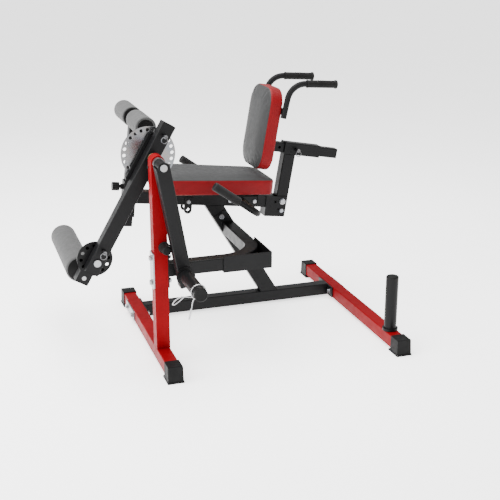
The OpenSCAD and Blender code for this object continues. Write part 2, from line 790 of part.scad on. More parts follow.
// Pull-pin along +Y: housing, pin, shoulder and knob ring
module pull_pin(reach, d) {
    translate([0, -16, 0]) rod_y(d, reach + 16);
    translate([0, -28, 0]) rod_y(14, 12);
    translate([0, -31, -12]) rotate([-90, 0, 0]) rotate_extrude() translate([11, 0]) circle(d = 3);
}

module lever_pin() color("silver") in_frame() at_lever() translate([0, lever_near, disc_pitch])
    pull_pin(disc_y + disc_t - lever_near + 2, 12);

// Drawn back so that its tip stands just clear of the lower disc
module shin_pin() color("silver") in_frame() at_lever() translate([0, lever_near, low_pitch - lever_reach])
    pull_pin(low_disc_y - 1 - lever_near, 12);

// Drawn back so that its tip stands just clear of the slide tube
module back_pin() color("silver") in_frame() at_back() translate([pin_s, -half - 4, 0])
    pull_pin(half + 3 - slide_w / 2, 10);

clip_s = 174;
clip_wire = 4;
clip_bore = horn_d + 0.4;

// Flat finger loop that starts at the origin and runs up the Y axis
module finger_loop(len, w) {
    difference() {
        union() {
            translate([-w / 2, 0]) square([w, len - w / 2]);
            translate([0, len - w / 2]) circle(d = w);
        }
        translate([-w / 2 + 3, 4]) square([w - 6, len - w / 2 - 4]);
        translate([0, len - w / 2]) circle(d = w - 6);
    }
}

// Ring round the horn with two looped finger grips
module spring_clip() color("silver") in_frame() translate([0, arm_near - clip_s, 0])
    translate([sin(arm_angle) * arm_reach, 0, shaft_z - cos(arm_angle) * arm_reach])
        rotate([90, 0, 0]) linear_extrude(clip_wire) difference() {
            union() {
                circle(d = clip_bore + 2 * clip_wire);
                translate([-24, -14]) rotate(94) translate([-2, 0]) square([4, 30]);
                translate([-52, -13]) rotate(122) finger_loop(42, 11);
                translate([-18, -22]) rotate(165) translate([-2, 0]) square([4, 36]);
                translate([-26, -55]) rotate(171) finger_loop(42, 11);
            }
            circle(d = clip_bore);
        }

front_foot();
rear_foot();
foot_caps();
base_beam();
backing_plates();
frame_bolts();
upright();
bumper_peg();
bumper_sleeve();
pivot_housing();
pivot_bushes();
side_tube();
corner_bracket();
slanted_post();
seat_rail();
rail_lugs();
holddown_sleeve();
seat_brackets();
seat_board();
seat_pad();
side_handles();
side_grips();
rail_bolts();
storage_horn();
storage_horn_cap();
rear_bracket();
rear_bolts();
back_post();
slide_bush();
pivot_shaft();
index_disc();
weight_arm();
weight_horn();
weight_horn_cap();
lever_tube();
lever_doubler();
lever_bush();
joint_pin();
lever_plugs();
lower_disc();
roller_bracket();
shin_axle();
shin_foam();
shin_end_caps();
holddown_post();
thigh_bar();
near_thigh_foam();
near_thigh_caps();
far_thigh_foam();
far_thigh_caps();
holddown_knob();
back_slide();
back_board();
back_pad();
back_handles();
back_grips();
lever_pin();
shin_pin();
back_pin();
spring_clip();
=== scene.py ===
import bpy
import bmesh
import json
import math
import numpy as np
from mathutils import Vector, Matrix


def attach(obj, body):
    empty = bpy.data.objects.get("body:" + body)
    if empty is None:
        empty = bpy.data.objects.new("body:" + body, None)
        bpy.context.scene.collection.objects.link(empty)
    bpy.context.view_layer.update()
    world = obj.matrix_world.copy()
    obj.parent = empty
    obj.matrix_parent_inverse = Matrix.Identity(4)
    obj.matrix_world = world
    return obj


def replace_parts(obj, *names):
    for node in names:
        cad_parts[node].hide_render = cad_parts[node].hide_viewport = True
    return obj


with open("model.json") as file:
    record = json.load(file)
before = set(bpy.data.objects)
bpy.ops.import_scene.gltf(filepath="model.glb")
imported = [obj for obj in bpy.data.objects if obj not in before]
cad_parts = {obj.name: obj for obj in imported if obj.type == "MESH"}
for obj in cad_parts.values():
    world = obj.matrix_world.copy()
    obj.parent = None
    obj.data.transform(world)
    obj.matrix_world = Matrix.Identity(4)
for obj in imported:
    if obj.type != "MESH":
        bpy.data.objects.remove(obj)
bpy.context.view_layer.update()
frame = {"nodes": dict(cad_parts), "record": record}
NODES = frame["nodes"]
FX, FY = -0.30125, 0.2275      # from the upright's axis and the seat's middle plane to the row frame

# Angles of the machine's parts, and how far from the vertical or the level each is
SEAT_TILT = math.radians(5.5)
BACK_TILT = math.radians(10)
RAIL_TILT = math.radians(6.5)
LEVER_TILT = math.radians(30)
ARM_TILT = math.radians(10)
HANDLE_RISE = math.radians(35.5)
RAIL_Z = 519                   # height of the seat rail's axis at the upright
RAIL_END = 452                 # the side handles' place along the rail
PIVOT_Z = 756                  # height of the lever's pivot
ARM_LENGTH = 402               # from the pivot to the weight horn's axis
SEAM_BLEND = 0.0006            # half the width over which one vinyl colour turns into the other


def P(x, y, z):
    """A point given in mm from the upright, the seat's middle and the floor, in the row frame."""
    return Vector((x / 1000 + FX, y / 1000 + FY, z / 1000))


# ---------------------------------------------------------------- materials

def new_mat(name):
    m = bpy.data.materials.new(name)
    m.use_nodes = True
    nt = m.node_tree
    return m, nt, nt.nodes["Principled BSDF"]


def add(nt, kind, **kw):
    n = nt.nodes.new(kind)
    for k, v in kw.items():
        setattr(n, k, v)
    return n


def coords(nt, scale=(1, 1, 1)):
    tc = add(nt, "ShaderNodeTexCoord")
    mp = add(nt, "ShaderNodeMapping")
    mp.inputs["Scale"].default_value = scale
    nt.links.new(tc.outputs["Object"], mp.inputs["Vector"])
    return mp.outputs["Vector"]


def noise(nt, vec, scale, detail=3.0, rough=0.5):
    n = add(nt, "ShaderNodeTexNoise")
    n.inputs["Scale"].default_value = scale
    n.inputs["Detail"].default_value = detail
    n.inputs["Roughness"].default_value = rough
    nt.links.new(vec, n.inputs["Vector"])
    return n.outputs["Fac"]


def ramp(nt, fac, stops):
    r = add(nt, "ShaderNodeValToRGB")
    e = r.color_ramp.elements
    e[0].position, e[0].color = stops[0][0], (*stops[0][1], 1)
    e[1].position, e[1].color = stops[-1][0], (*stops[-1][1], 1)
    for pos, col in stops[1:-1]:
        x = e.new(pos)
        x.color = (*col, 1)
    nt.links.new(fac, r.inputs["Fac"])
    return r.outputs["Color"]


def span(nt, fac, lo, hi):
    m = add(nt, "ShaderNodeMapRange")
    m.inputs["From Min"].default_value = 0.3
    m.inputs["From Max"].default_value = 0.7
    m.inputs["To Min"].default_value = lo
    m.inputs["To Max"].default_value = hi
    nt.links.new(fac, m.inputs["Value"])
    return m.outputs["Result"]


def bump(nt, height, strength, distance, normal=None):
    b = add(nt, "ShaderNodeBump")
    b.inputs["Strength"].default_value = strength
    b.inputs["Distance"].default_value = distance
    nt.links.new(height, b.inputs["Height"])
    if normal is not None:
        nt.links.new(normal, b.inputs["Normal"])
    return b.outputs["Normal"]


def rounded(nt, radius):
    b = add(nt, "ShaderNodeBevel", samples=4)
    b.inputs["Radius"].default_value = radius
    return b.outputs["Normal"]


def shade(col, k):
    return tuple(min(1.0, c * k) for c in col)


def powder(name, col, rough=0.34, coat=0.25, gloss=0.1, bevel=0.0009):
    """Powder coat: fine orange peel, faint mottling, soft edges."""
    m, nt, b = new_mat(name)
    v = coords(nt)
    tone = ramp(nt, noise(nt, v, 9, 4), [(0.3, shade(col, 0.88)), (0.7, shade(col, 1.12))])
    nt.links.new(tone, b.inputs["Base Color"])
    nt.links.new(span(nt, noise(nt, v, 38, 3), rough - 0.05, rough + 0.07), b.inputs["Roughness"])
    n = bump(nt, noise(nt, v, 620, 2), 0.16, 0.0003, rounded(nt, bevel))
    nt.links.new(n, b.inputs["Normal"])
    b.inputs["Coat Weight"].default_value = coat
    b.inputs["Coat Roughness"].default_value = 0.22
    b.inputs["Specular IOR Level"].default_value = gloss
    return m


def steel(name, col, rough=0.28, stretch=(1, 1, 1), tint=0.06, bevel=0.0004):
    """Plated steel: cloudy plating, fine grain along one direction."""
    m, nt, b = new_mat(name)
    v = coords(nt)
    warm = (col[0] * (1 + tint), col[1], col[2] * (1 - tint))
    cool = (col[0] * (1 - tint), col[1], col[2] * (1 + tint))
    nt.links.new(ramp(nt, noise(nt, v, 34, 4), [(0.3, warm), (0.7, cool)]), b.inputs["Base Color"])
    b.inputs["Metallic"].default_value = 1.0
    g = noise(nt, coords(nt, stretch), 420, 4, 0.6)
    nt.links.new(span(nt, g, rough - 0.07, rough + 0.1), b.inputs["Roughness"])
    nt.links.new(bump(nt, g, 0.12, 0.0002, rounded(nt, bevel)), b.inputs["Normal"])
    return m


def rubber(name, col, rough=0.55, grain=500, depth=0.0003, bevel=0.0012):
    m, nt, b = new_mat(name)
    v = coords(nt)
    tone = ramp(nt, noise(nt, v, 22, 4), [(0.3, shade(col, 0.8)), (0.7, shade(col, 1.25))])
    nt.links.new(tone, b.inputs["Base Color"])
    nt.links.new(span(nt, noise(nt, v, 60, 3), rough - 0.08, rough + 0.1), b.inputs["Roughness"])
    nt.links.new(bump(nt, noise(nt, v, grain, 3), 0.3, depth, rounded(nt, bevel)), b.inputs["Normal"])
    b.inputs["Specular IOR Level"].default_value = 0.1
    return m


def foam(name, col, pore=900):
    """Closed-cell foam: skin with fine pores whose pits are darkened with painted shade, and faint scuffs."""
    m, nt, b = new_mat(name)
    v = coords(nt)
    vo = add(nt, "ShaderNodeTexVoronoi")
    vo.inputs["Scale"].default_value = pore
    nt.links.new(v, vo.inputs["Vector"])
    tone = ramp(nt, noise(nt, v, 26, 5, 0.62), [(0.3, shade(col, 0.86)), (0.7, shade(col, 1.12))])
    # painted shade: the base colour is darkened towards each pore's centre, where the bump makes a pit
    pore_shade = ramp(nt, vo.outputs["Distance"], [(0.0, (0.72, 0.72, 0.72)), (0.5, (1, 1, 1))])
    mx = add(nt, "ShaderNodeMix", data_type="RGBA", blend_type="MULTIPLY")
    mx.inputs["Factor"].default_value = 0.6
    nt.links.new(tone, mx.inputs["A"])
    nt.links.new(pore_shade, mx.inputs["B"])
    nt.links.new(mx.outputs["Result"], b.inputs["Base Color"])
    nt.links.new(span(nt, noise(nt, v, 70, 3), 0.62, 0.82), b.inputs["Roughness"])
    n1 = bump(nt, vo.outputs["Distance"], 0.3, 0.0003)
    nt.links.new(bump(nt, noise(nt, v, 45, 4), 0.25, 0.0012, n1), b.inputs["Normal"])
    b.inputs["Sheen Weight"].default_value = 0.06
    b.inputs["Sheen Roughness"].default_value = 0.5
    b.inputs["Specular IOR Level"].default_value = 0.15
    return m


def vinyl(name, top, side):
    """Upholstery vinyl in two colours: top above the seam, at 0 on the piece's own Z, and side below it."""
    m, nt, b = new_mat(name)
    v = coords(nt)
    tc = add(nt, "ShaderNodeTexCoord")
    sp = add(nt, "ShaderNodeSeparateXYZ")
    nt.links.new(tc.outputs["Object"], sp.inputs["Vector"])
    mr = add(nt, "ShaderNodeMapRange")
    mr.inputs["From Min"].default_value = -SEAM_BLEND
    mr.inputs["From Max"].default_value = SEAM_BLEND
    nt.links.new(sp.outputs["Z"], mr.inputs["Value"])
    fine = noise(nt, v, 30, 5, 0.6)
    ct = ramp(nt, fine, [(0.3, shade(top, 0.92)), (0.7, shade(top, 1.08))])
    cs = ramp(nt, fine, [(0.3, shade(side, 0.9)), (0.7, shade(side, 1.1))])
    mx = add(nt, "ShaderNodeMix", data_type="RGBA")
    nt.links.new(mr.outputs["Result"], mx.inputs["Factor"])
    nt.links.new(cs, mx.inputs["A"])
    nt.links.new(ct, mx.inputs["B"])
    nt.links.new(mx.outputs["Result"], b.inputs["Base Color"])
    nt.links.new(span(nt, noise(nt, v, 55, 3), 0.4, 0.54), b.inputs["Roughness"])
    vo = add(nt, "ShaderNodeTexVoronoi", feature="DISTANCE_TO_EDGE")
    vo.inputs["Scale"].default_value = 430
    nt.links.new(v, vo.inputs["Vector"])
    n1 = bump(nt, vo.outputs["Distance"], 0.35, 0.0004)
    nt.links.new(bump(nt, noise(nt, v, 14, 3), 0.15, 0.002, n1), b.inputs["Normal"])
    b.inputs["Sheen Weight"].default_value = 0.03
    b.inputs["Specular IOR Level"].default_value = 0.1
    return m


def plywood(name):
    m, nt, b = new_mat(name)
    w = add(nt, "ShaderNodeTexWave", wave_type="BANDS", bands_direction="Z")
    w.inputs["Scale"].default_value = 160
    w.inputs["Distortion"].default_value = 3
    w.inputs["Detail"].default_value = 3
    nt.links.new(coords(nt), w.inputs["Vector"])
    plies = ramp(nt, w.outputs["Fac"], [(0.2, (0.16, 0.1, 0.055)), (0.8, (0.36, 0.25, 0.15))])
    nt.links.new(plies, b.inputs["Base Color"])
    g = noise(nt, coords(nt, (3, 60, 60)), 12, 4)
    nt.links.new(span(nt, g, 0.55, 0.75), b.inputs["Roughness"])
    nt.links.new(bump(nt, g, 0.3, 0.0006), b.inputs["Normal"])
    return m


RED = powder("red_powder", (0.165, 0.001, 0.0035), 0.42, 0.0, 0.04)
BLACK = powder("black_powder", (0.0045, 0.0045, 0.0048), 0.36, 0.02)
MATTE = powder("matte_black", (0.005, 0.005, 0.0053), 0.52, 0.0)
ZINC = steel("zinc_plate", (0.25, 0.25, 0.26), 0.27)
PINS = steel("dark_steel", (0.11, 0.11, 0.115), 0.3)
DISC = steel("zinc_disc", (0.18, 0.18, 0.184), 0.22, (1, 30, 1))
CHROME = steel("bright_chrome", (0.4, 0.4, 0.41), 0.16, tint=0.015)
SHAFT = steel("ground_steel", (0.27, 0.27, 0.275), 0.28, (40, 1, 40))
BRONZE = steel("sintered_bronze", (0.55, 0.38, 0.2), 0.42)
CAP = rubber("cap_rubber", (0.005, 0.005, 0.005), 0.55)
GRIP = rubber("grip_rubber", (0.006, 0.006, 0.006), 0.6, 700)
NYLON = rubber("black_nylon", (0.004, 0.004, 0.0042), 0.36, 300, 0.0002, 0.0008)
FOAM = foam("grey_foam", (0.06, 0.06, 0.06))
GRIPFOAM = foam("black_foam", (0.008, 0.008, 0.008), 1100)
WOOD = plywood("plywood")

LOOK = {
    "red_paint": RED, "black_paint": BLACK, "matte_black": MATTE, "zinc": ZINC, "shaft_steel": SHAFT,
    "cap_rubber": CAP, "grip_rubber": GRIP, "bush_plastic": NYLON, "bronze": BRONZE, "foam": FOAM,
    "handle_foam": GRIPFOAM, "vinyl": FOAM, "board": WOOD,
}
SPECIAL = {"index_disc": DISC, "holddown_knob": NYLON, "lever_pin": PINS, "shin_pin": PINS, "back_pin": PINS}
for sub in frame["record"]["subparts"]:
    ob = NODES[sub["node"]]
    mat = LOOK[sub["material_slot"]]
    mat = SPECIAL.get(sub["node"], mat)
    ob.data.materials.clear()
    ob.data.materials.append(mat)


# ---------------------------------------------------------------- mesh helpers

def mesh_obj(name, verts, faces, mat, matrix=None, smooth=True):
    me = bpy.data.meshes.new(name)
    me.from_pydata([tuple(v) for v in verts], [], faces)
    me.validate()
    me.update()
    bm = bmesh.new()
    bm.from_mesh(me)
    bmesh.ops.recalc_face_normals(bm, faces=bm.faces)
    bm.to_mesh(me)
    bm.free()
    me.materials.append(mat)
    ob = bpy.data.objects.new(name, me)
    bpy.context.scene.collection.objects.link(ob)
    if matrix is not None:
        ob.matrix_world = matrix
    if smooth:
        for p in me.polygons:
            p.use_smooth = True
    return ob


def lathe(name, profile, mat, matrix, seg=72, ripple=None, closed=True):
    """Turns a profile of (radius, height) about its own Z. ripple(angle, height) scales the radius."""
    verts, faces = [], []
    n = len(profile)
    for i in range(seg):
        a = 2 * math.pi * i / seg
        for r, h in profile:
            k = ripple(a, h) if ripple else 1.0
            verts.append((r * k * math.cos(a), r * k * math.sin(a), h))
    for i in range(seg):
        j = (i + 1) % seg
        for k in range(n if closed else n - 1):
            l = (k + 1) % n
            faces.append((i * n + k, j * n + k, j * n + l, i * n + l))
    return mesh_obj(name, verts, faces, mat, matrix)


def frame_at(origin, z_dir, x_dir=None):
    """Matrix with its Z along z_dir, at origin."""
    z = Vector(z_dir).normalized()
    x = Vector(x_dir) if x_dir is not None else Vector((0, 1, 0)) if abs(z.y) < 0.9 else Vector((1, 0, 0))
    x = (x - z * x.dot(z)).normalized()
    y = z.cross(x)
    m = Matrix((x, y, z)).transposed().to_4x4()
    m.translation = origin
    return m


# ---------------------------------------------------------------- pads

def outline(w, h, r, n=40):
    """Rounded rectangle, counter-clockwise, evenly enough spaced."""
    pts = []
    x, y = w / 2 - r, h / 2 - r
    for cx, cy, a0 in ((x, y, 0), (-x, y, 90), (-x, -y, 180), (x, -y, 270)):
        for k in range(n // 4 + 1):
            a = math.radians(a0 + 90 * k / (n // 4))
            pts.append((cx + r * math.cos(a), cy + r * math.sin(a)))
    return pts


RIM = 0.0078      # width of the vinyl that covers a board's edge


def pad_shell(length, width, r, side, crown, wrap, inset=0.003):
    """Closed pad: seam at 0, crowned top, flat bottom at -side, and a rim that reaches wrap below it
    round the board's edge. X is the length, Y the width."""
    rings = []
    top = [(1.0, 0.0), (0.965, 0.32), (0.9, 0.58), (0.78, 0.8), (0.6, 0.93), (0.4, 0.985), (0.2, 1.0)]
    base = outline(length - 2 * inset, width - 2 * inset, r)
    hem = outline(length - 2 * RIM, width - 2 * RIM, r - RIM)
    rings.append([(x * 0.6, y * 0.6, -side) for x, y in hem])
    rings.append([(x, y, -side) for x, y in hem])
    rings.append([(x, y, -side - wrap) for x, y in hem])
    rings.append([(x, y, -side - wrap) for x, y in base])
    for z in (-side * 0.8, -side * 0.55, -side * 0.3, -side * 0.1):
        rings.append([(x, y, z) for x, y in base])
    for s, k in top:
        rings.append([(x * s, y * s, crown * k) for x, y in base])
    verts = [v for ring in rings for v in ring]
    n = len(base)
    faces = []
    for i in range(len(rings) - 1):
        for k in range(n):
            l = (k + 1) % n
            faces.append((i * n + k, i * n + l, (i + 1) * n + l, (i + 1) * n + k))
    verts.append((0, 0, -side))
    verts.append((0, 0, crown))
    b, t = len(verts) - 2, len(verts) - 1
    last = (len(rings) - 1) * n
    for k in range(n):
        l = (k + 1) % n
        faces.append((b, l, k))
        faces.append((t, last + k, last + l))
    return verts, faces


def select_only(ob):
    bpy.ops.object.select_all(action="DESELECT")
    ob.select_set(True)
    bpy.context.view_layer.objects.active = ob


def puff(ob, voxel, cap, pinned, pressure=4.0):
    """Inflates a pad with cloth, keeps each point within cap of where it started, and applies it."""
    select_only(ob)
    md = ob.modifiers.new("remesh", "REMESH")
    md.mode = "VOXEL"
    md.voxel_size = voxel
    bpy.ops.object.modifier_apply(modifier=md.name)
    me = ob.data
    rest = np.empty(len(me.vertices) * 3)
    me.vertices.foreach_get("co", rest)
    rest = rest.reshape(-1, 3)
    vg = ob.vertex_groups.new(name="pin")
    for i, co in enumerate(rest):
        w = pinned(co)
        if w > 0:
            vg.add([i], w, "REPLACE")
    cl = ob.modifiers.new("cloth", "CLOTH")
    s = cl.settings
    s.quality = 6
    s.mass = 0.3
    s.tension_stiffness = 22
    s.compression_stiffness = 18
    s.shear_stiffness = 8
    s.bending_stiffness = 1.2
    s.use_pressure = True
    s.uniform_pressure_force = pressure
    s.vertex_group_mass = "pin"
    s.effector_weights.gravity = 0.0
    cl.collision_settings.use_self_collision = False
    cl.point_cache.frame_start = 1
    cl.point_cache.frame_end = 20
    for f in range(1, 21):
        bpy.context.scene.frame_set(f)
    dg = bpy.context.evaluated_depsgraph_get()
    ev = ob.evaluated_get(dg).to_mesh()
    out = np.empty(len(ev.vertices) * 3)
    ev.vertices.foreach_get("co", out)
    ob.evaluated_get(dg).to_mesh_clear()
    out = out.reshape(-1, 3)
    ob.modifiers.remove(cl)
    bpy.context.scene.frame_set(1)
    mv = out - rest
    d = np.linalg.norm(mv, axis=1, keepdims=True)
    k = np.where(d > 1e-9, cap * np.tanh(d / cap) / np.maximum(d, 1e-9), 1.0)
    rest = rest + mv * k
    me.vertices.foreach_set("co", rest.ravel())
    me.update()
    sub = ob.modifiers.new("sub", "SUBSURF")
    sub.levels = sub.render_levels = 1
    select_only(ob)
    bpy.ops.object.modifier_apply(modifier=sub.name)


def reshape(ob, fn):
    me = ob.data
    co = np.empty(len(me.vertices) * 3)
    me.vertices.foreach_get("co", co)
    co = co.reshape(-1, 3)
    no = np.empty(len(me.vertices) * 3)
    me.vertices.foreach_get("normal", no)
    no = no.reshape(-1, 3)
    me.vertices.foreach_set("co", fn(co.copy(), no).ravel())
    me.update()
    for p in me.polygons:
        p.use_smooth = True


def tube_path(name, pts, radius, mat, matrix=None, closed=False, seg=12):
    """Tube swept along points, with a steady frame."""
    pts = [Vector(p) for p in pts]
    n = len(pts)
    verts, faces = [], []
    up = None
    for i, p in enumerate(pts):
        a = pts[(i - 1) % n] if closed or i > 0 else p
        b = pts[(i + 1) % n] if closed or i < n - 1 else p
        t = (b - a).normalized()
        if up is None:
            up = t.orthogonal().normalized()
        up = (up - t * up.dot(t)).normalized()
        side = t.cross(up)
        r = radius(i / (n - 1)) if callable(radius) else radius
        for k in range(seg):
            ang = 2 * math.pi * k / seg
            verts.append(p + up * (r * math.cos(ang)) + side * (r * math.sin(ang)))
    for i in range(n if closed else n - 1):
        j = (i + 1) % n
        for k in range(seg):
            l = (k + 1) % seg
            faces.append((i * seg + k, i * seg + l, j * seg + l, j * seg + k))
    if not closed:
        faces.append(tuple(range(seg))[::-1])
        faces.append(tuple((n - 1) * seg + k for k in range(seg)))
    return mesh_obj(name, verts, faces, mat, matrix)


def smooth_path(ctrl, per=10, closed=False):
    """Catmull-Rom through the control points."""
    c = [Vector(p) for p in ctrl]
    n = len(c)
    out = []
    for i in range(n if closed else n - 1):
        p0 = c[(i - 1) % n] if closed or i > 0 else c[i] * 2 - c[i + 1]
        p1, p2 = c[i], c[(i + 1) % n]
        p3 = c[(i + 2) % n] if closed or i + 2 < n else c[i + 1] * 2 - c[i]
        for k in range(per):
            t = k / per
            out.append(0.5 * ((2 * p1) + (p2 - p0) * t + (2 * p0 - 5 * p1 + 4 * p2 - p3) * t * t
                              + (3 * p1 - p0 - 3 * p2 + p3) * t ** 3))
    if not closed:
        out.append(c[-1])
    return out


def fit_to_cad(ob, node, crown, wrap, narrow=1.0, reach=0.0):
    """Stretches a pad to its CAD solid's box in the pad's own frame, with its seam kept at 0. narrow is the
    width of its +X end over that of its -X end, and reach is how far the +X end stands proud of the solid."""
    inv = np.array(ob.matrix_world.inverted())
    cad = np.array([v.co for v in NODES[node].data.vertices]) @ inv[:3, :3].T + inv[:3, 3]
    lo, hi = cad.min(axis=0), cad.max(axis=0)
    hi[0] += reach

    def fit(co, no):
        a, b = co.min(axis=0), co.max(axis=0)
        for k in (0, 1):
            co[:, k] = lo[k] + (co[:, k] - a[k]) * (hi[k] - lo[k]) / (b[k] - a[k])
        co[:, 1] *= 1 - (1 - narrow) * (co[:, 0] - lo[0]) / (hi[0] - lo[0])
        z = co[:, 2]
        co[:, 2] = np.where(z > 0, z * crown / b[2], z * (lo[2] - wrap) / a[2])
        return co

    reshape(ob, fit)


# Seat: its own X runs back along the seat, its Z out of the top
seat_m = Matrix.Translation(P(315, 0, 590)) @ Matrix.Rotation(SEAT_TILT, 4, "Y")
TOP_GREY = (0.028, 0.0282, 0.0285)
SIDE_RED = (0.135, 0.001, 0.003)
SEAT_VINYL = vinyl("seat_vinyl", TOP_GREY, SIDE_RED)
SEAT_L, SEAT_W, SEAT_FRONT_W, SIDE_T = 0.478, 0.248, 0.336, 0.0455
SEAT_WRAP, BACK_WRAP = 0.011, 0.007
v, f = pad_shell(SEAT_L - 0.004, SEAT_W - 0.006, 0.030, SIDE_T, 0.011, SEAT_WRAP)
seat = mesh_obj("seat_cushion", v, f, SEAT_VINYL, seat_m)
puff(seat, 0.005, 0.007, lambda c: 1.0 if c[2] < -0.036 else (0.55 if abs(c[2]) < 0.003 else 0.0))


def press_seam(co, no):
    """Presses a shallow groove into a pad's sides along its seam."""
    side = np.clip(1 - np.abs(no[:, 2]), 0, 1)
    seam = np.exp(-((co[:, 2] / 0.0022) ** 2)) * np.clip(side * 1.6, 0, 1)
    co -= no * (seam * 0.0016)[:, None]


def seat_finish(co, no):
    z = co[:, 2]
    press_seam(co, no)
    wav = 0.0004 * np.sin(co[:, 0] * 21 + 1.3) * np.sin(co[:, 1] * 17 + 0.4)
    co[:, 2] += wav * (z > 0.002)
    return co


fit_to_cad(seat, "seat_pad", 0.016, SEAT_WRAP, SEAT_W / SEAT_FRONT_W, 0.008)
reshape(seat, seat_finish)
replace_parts(seat, "seat_pad")
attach(seat, "frame")

# Backrest: its own X runs up the pad, its Z out of the front
back_frame = Matrix.Translation(P(637, 0, 675)) @ Matrix.Rotation(BACK_TILT, 4, "Y")
upright_pad = Matrix(((0, 0, -1, 0), (0, 1, 0, 0), (1, 0, 0, 0), (0, 0, 0, 1)))
back_m = back_frame @ Matrix.Translation((-0.130, 0, 0.074)) @ upright_pad
BACK_VINYL = vinyl("backrest_vinyl", TOP_GREY, SIDE_RED)
BACK_H, BACK_W, BACK_T = 0.334, 0.240, 0.0415
v, f = pad_shell(BACK_H - 0.004, BACK_W - 0.006, 0.066, BACK_T, 0.015, BACK_WRAP)
back = mesh_obj("backrest_cushion", v, f, BACK_VINYL, back_m)
puff(back, 0.005, 0.007, lambda c: 1.0 if c[2] < -0.033 else (0.55 if abs(c[2]) < 0.003 else 0.0))


def back_finish(co, no):
    z = co[:, 2]
    press_seam(co, no)
    x, y = co[:, 0], co[:, 1]
    edge = np.clip((0.07 - (x + BACK_H / 2)) / 0.06, 0, 1)
    pleat = edge * 0.0007 * np.sin(y * 130 + 2 * np.sin(x * 60)) * np.exp(-(((y + 0.02) / 0.05) ** 2))
    co[:, 2] += pleat * (z > 0.002)
    co[:, 2] += 0.0003 * np.sin(x * 27) * np.sin(y * 23 + 0.7) * (z > 0.002)
    return co


fit_to_cad(back, "back_pad", 0.020, BACK_WRAP)
reshape(back, back_finish)
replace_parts(back, "back_pad")
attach(back, "backrest")


# ---------------------------------------------------------------- rollers and grips

def roller(name, node, body, origin, length, r, bore, dish=0.0, dish_r=0.0, ends=(0.008, 0.008),
           seed=0.0, way=1):
    """Foam roller from origin along the row's Y, or against it, with rounded rims and an uneven skin."""
    e0, e1 = ends
    prof = [(bore, 0.0005), (r - e0 * 1.3, 0.0)]
    for k in range(1, 7):
        a = math.pi / 2 * k / 6
        prof.append((r - e0 + e0 * math.sin(a), e0 - e0 * math.cos(a)))
    m = 26
    for k in range(1, m):
        prof.append((r, e0 + (length - e0 - e1) * k / m))
    for k in range(0, 7):
        a = math.pi / 2 * k / 6
        prof.append((r - e1 + e1 * math.cos(a), length - e1 + e1 * math.sin(a)))
    if dish > 0:
        prof += [(dish_r + 0.003, length), (dish_r, length - 0.003), (dish_r, length - dish),
                 (bore, length - dish)]
    else:
        prof += [(bore, length - 0.0005)]

    def ripple(a, h):
        t = h / length
        waist = -0.006 * math.sin(math.pi * max(0, min(1, t)))
        uneven = 0.0035 * math.sin(3 * a + 9 * t + seed) * math.sin(5 * t * math.pi + seed)
        return 1 + waist + uneven if 0.03 < t < 0.97 else 1.0

    ob = lathe(name, prof, FOAM, frame_at(origin, (0, way, 0)), 84, ripple)
    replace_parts(ob, node)
    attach(ob, body)
    return ob


def rail_pt(u, y, v):
    """A point along the seat rail, across it and out of its top, in mm."""
    c, s = math.cos(RAIL_TILT), math.sin(RAIL_TILT)
    return P(u * c + v * s, y, RAIL_Z - u * s + v * c)


def lever_pt(z, y):
    """A point at z along the lever from its pivot, in mm."""
    return P(z * math.sin(LEVER_TILT), y, PIVOT_Z + z * math.cos(LEVER_TILT))


roller("shin_roller_foam", "shin_foam", "shin_roller", lever_pt(-512, -223), 0.444, 0.0507, 0.0152, seed=0.6)
for way, side, seed in ((1, "far", 1.9), (-1, "near", 4.2)):
    roller(side + "_thigh_roller_foam", side + "_thigh_foam", side + "_thigh_roller",
           rail_pt(-17, 33 * way, 311), 0.177, 0.0397, 0.0152, 0.009, 0.029, (0.005, 0.005), seed, way)


def side_grip(side):
    """Foam grip at the upper end of a side handle; side is 1 for the far one and -1 for the near one."""
    c, s = math.cos(HANDLE_RISE), math.sin(HANDLE_RISE)
    u0 = 38 + 66
    hx = RAIL_END * math.cos(RAIL_TILT)
    hz = RAIL_Z - RAIL_END * math.sin(RAIL_TILT)
    o = P(hx - u0 * c, side * 254, hz + u0 * s)
    d = Vector((-c, 0, s))
    L, r, b = 0.122, 0.0168, 0.0126
    prof = [(b, 0.0), (r - 0.003, 0.0), (r - 0.0008, 0.001), (r, 0.003)]
    for k in range(1, 16):
        prof.append((r * (1 - 0.018 * math.sin(math.pi * k / 16)), 0.003 + (L - 0.006) * k / 16))
    prof += [(r, L - 0.003), (r - 0.0008, L - 0.001), (r - 0.003, L), (b, L)]
    ob = lathe("side_grip_%s" % ("far" if side > 0 else "near"), prof, GRIPFOAM, frame_at(o, d), 48)
    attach(ob, "frame")
    return ob


for sd in (-1, 1):
    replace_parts(side_grip(sd), "side_grips")


